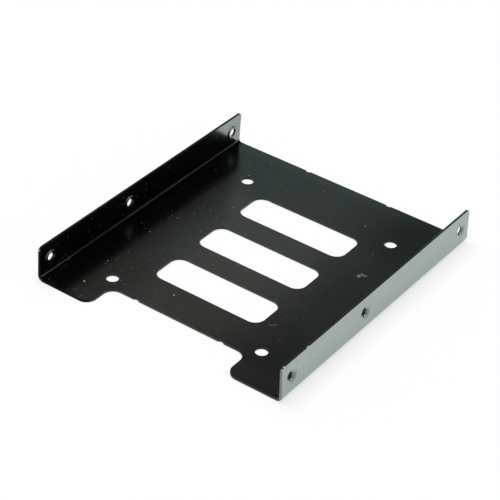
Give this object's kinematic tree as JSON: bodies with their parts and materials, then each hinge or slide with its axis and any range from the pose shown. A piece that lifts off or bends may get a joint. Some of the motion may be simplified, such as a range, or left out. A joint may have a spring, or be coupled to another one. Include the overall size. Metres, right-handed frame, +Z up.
{
  "type": "drive bay adapter bracket",
  "caption": "Shallow tray folded from black sheet steel, which carries a small drive on its slotted plate and screws into a larger drive bay by its side flanges.",
  "frame": {"origin": "on the underside, midway between the flanges and midway along them", "axes": "+X across the tray to the right flange, +Y along it away from the connector cut-out, +Z up"},
  "size_m": [0.0998, 0.112, 0.0135],
  "materials": {
    "black_paint": "gloss black paint"
  },
  "bodies": {
    "root": {"bracket": "black_paint"}
  },
  "joints": []
}
